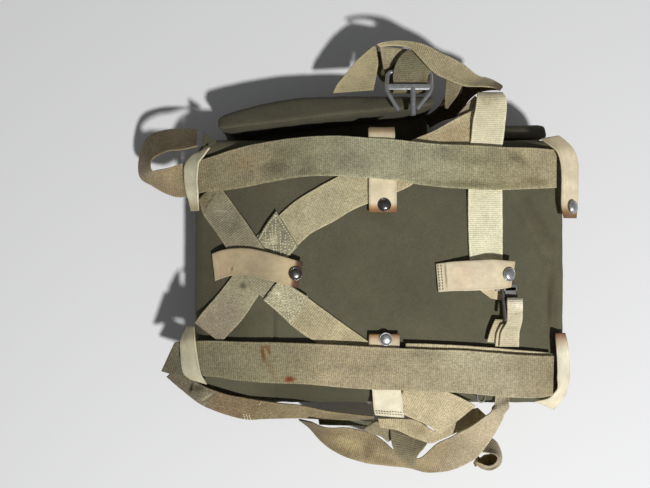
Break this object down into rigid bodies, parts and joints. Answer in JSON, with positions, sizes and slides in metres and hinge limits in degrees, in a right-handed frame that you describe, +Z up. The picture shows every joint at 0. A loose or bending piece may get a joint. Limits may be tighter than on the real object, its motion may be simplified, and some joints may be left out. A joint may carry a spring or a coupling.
{
  "type": "packed back parachute",
  "caption": "Olive canvas parachute pack lying on its outer face, with a worn cream webbing harness folded over it, leather keepers, snap caps, a steel ring and a small buckle.",
  "frame": {"origin": "centre of the flat face that the pack rests on", "axes": "+X along the pack's length, towards the picture's right, +Y across the pack, away from the picture's lower edge, +Z up from the surface it lies on"},
  "size_m": [0.6325, 0.6285, 0.1473],
  "materials": {
    "canvas": "worn olive cotton canvas, matt, with soft creases and faint stains",
    "webbing": "cream to greige flat woven webbing with cross ribs, selvedges, wear and brown stains",
    "leather": "pale cream leather, slightly glossy, browned and cracked at the bends",
    "steel": "worn grey steel with dull scratches"
  },
  "bodies": {
    "root": {"pack_body": "canvas", "side_pocket": "canvas", "far_wall_fold": "canvas", "canvas_ear": "canvas", "upper_wide_strap": "webbing", "riser_strap": "webbing", "rising_diagonal_strap": "webbing", "falling_diagonal_strap": "webbing", "rising_stitched_end": "webbing", "falling_stitched_end": "webbing", "lower_wide_strap": "webbing", "lower_strap_layer": "webbing", "low_left_strap": "webbing", "ribbed_strap": "webbing", "long_twisted_strap": "webbing", "short_band": "webbing", "curl_band": "webbing", "fold_piece": "webbing", "end_loop": "webbing", "top_left_leg": "webbing", "top_fold": "webbing", "ring_web": "webbing", "top_right_arc": "webbing", "top_right_leg": "webbing", "small_fold": "webbing", "buckle_tail_top": "webbing", "buckle_tail_middle": "webbing", "buckle_tail_lower": "webbing", "edge_strip": "webbing", "middle_keeper": "leather", "right_keeper": "leather", "upper_tab": "leather", "lower_tab": "leather", "corner_keeper_upper_left": "leather", "corner_keeper_lower_left": "leather", "corner_keeper_upper_right": "leather", "corner_keeper_lower_right": "leather", "harness_ring": "steel", "friction_buckle": "steel", "small_ring": "steel", "snap_cap_middle": "steel", "snap_cap_right": "steel", "snap_cap_upper_tab": "steel", "snap_cap_lower_tab": "steel", "snap_cap_corner": "steel"}
  },
  "joints": []
}
